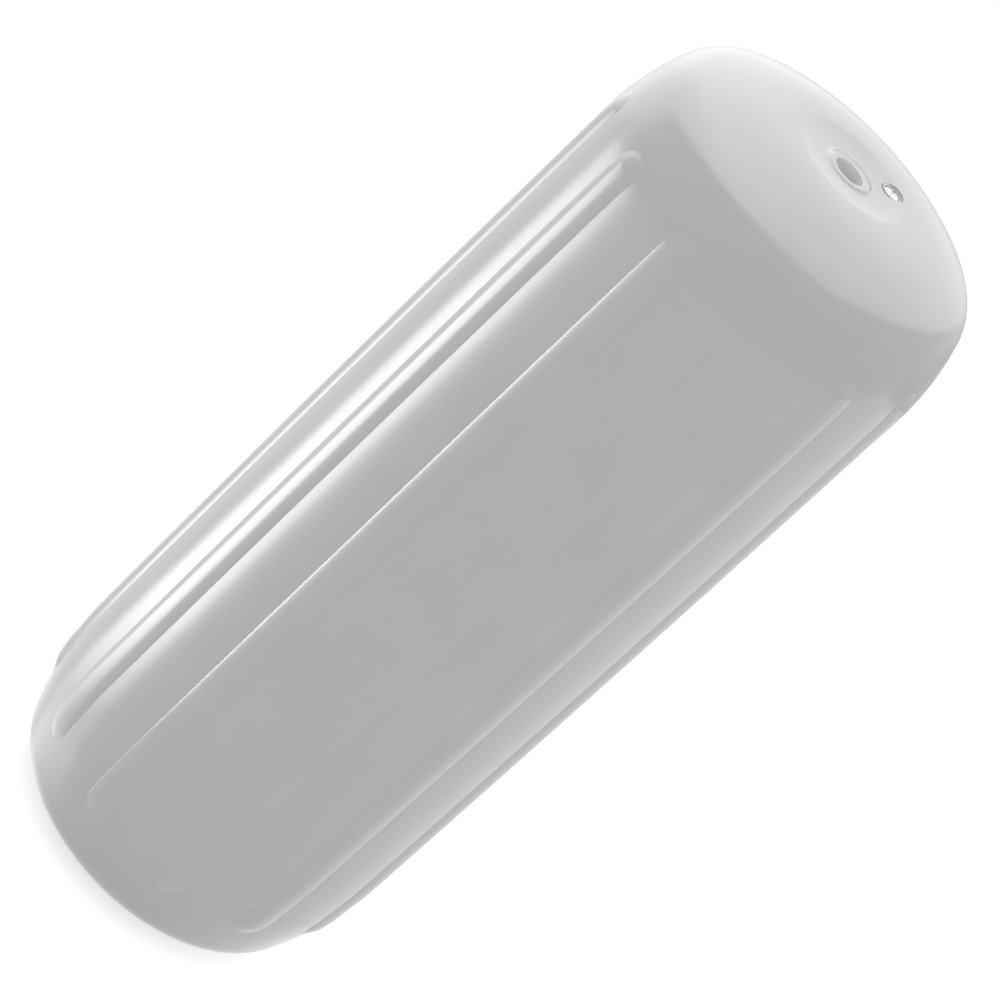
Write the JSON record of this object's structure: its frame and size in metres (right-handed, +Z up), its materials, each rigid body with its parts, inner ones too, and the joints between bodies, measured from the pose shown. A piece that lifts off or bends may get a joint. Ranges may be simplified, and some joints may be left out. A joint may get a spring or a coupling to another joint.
{
  "type": "boat fender",
  "caption": "Cylindrical light grey vinyl boat fender with raised ribs along its side, a rope hole down its middle and a screwed air valve in one end.",
  "frame": {"origin": "middle of the standing end, at the bottom of the bounding box", "axes": "+Z up along the rope hole, from the plain end to the valve end; the valve lies towards +X and +Y"},
  "size_m": [0.2616, 0.2616, 0.686],
  "materials": {
    "vinyl": "glossy moulded vinyl, light grey",
    "insert_plastic": "satin, light grey",
    "washer_rubber": "matte",
    "screw_plastic": "satin white"
  },
  "bodies": {
    "root": {"fender_body": "vinyl", "valve_insert": "insert_plastic", "valve_washer": "washer_rubber", "valve_screw": "screw_plastic"}
  },
  "joints": []
}
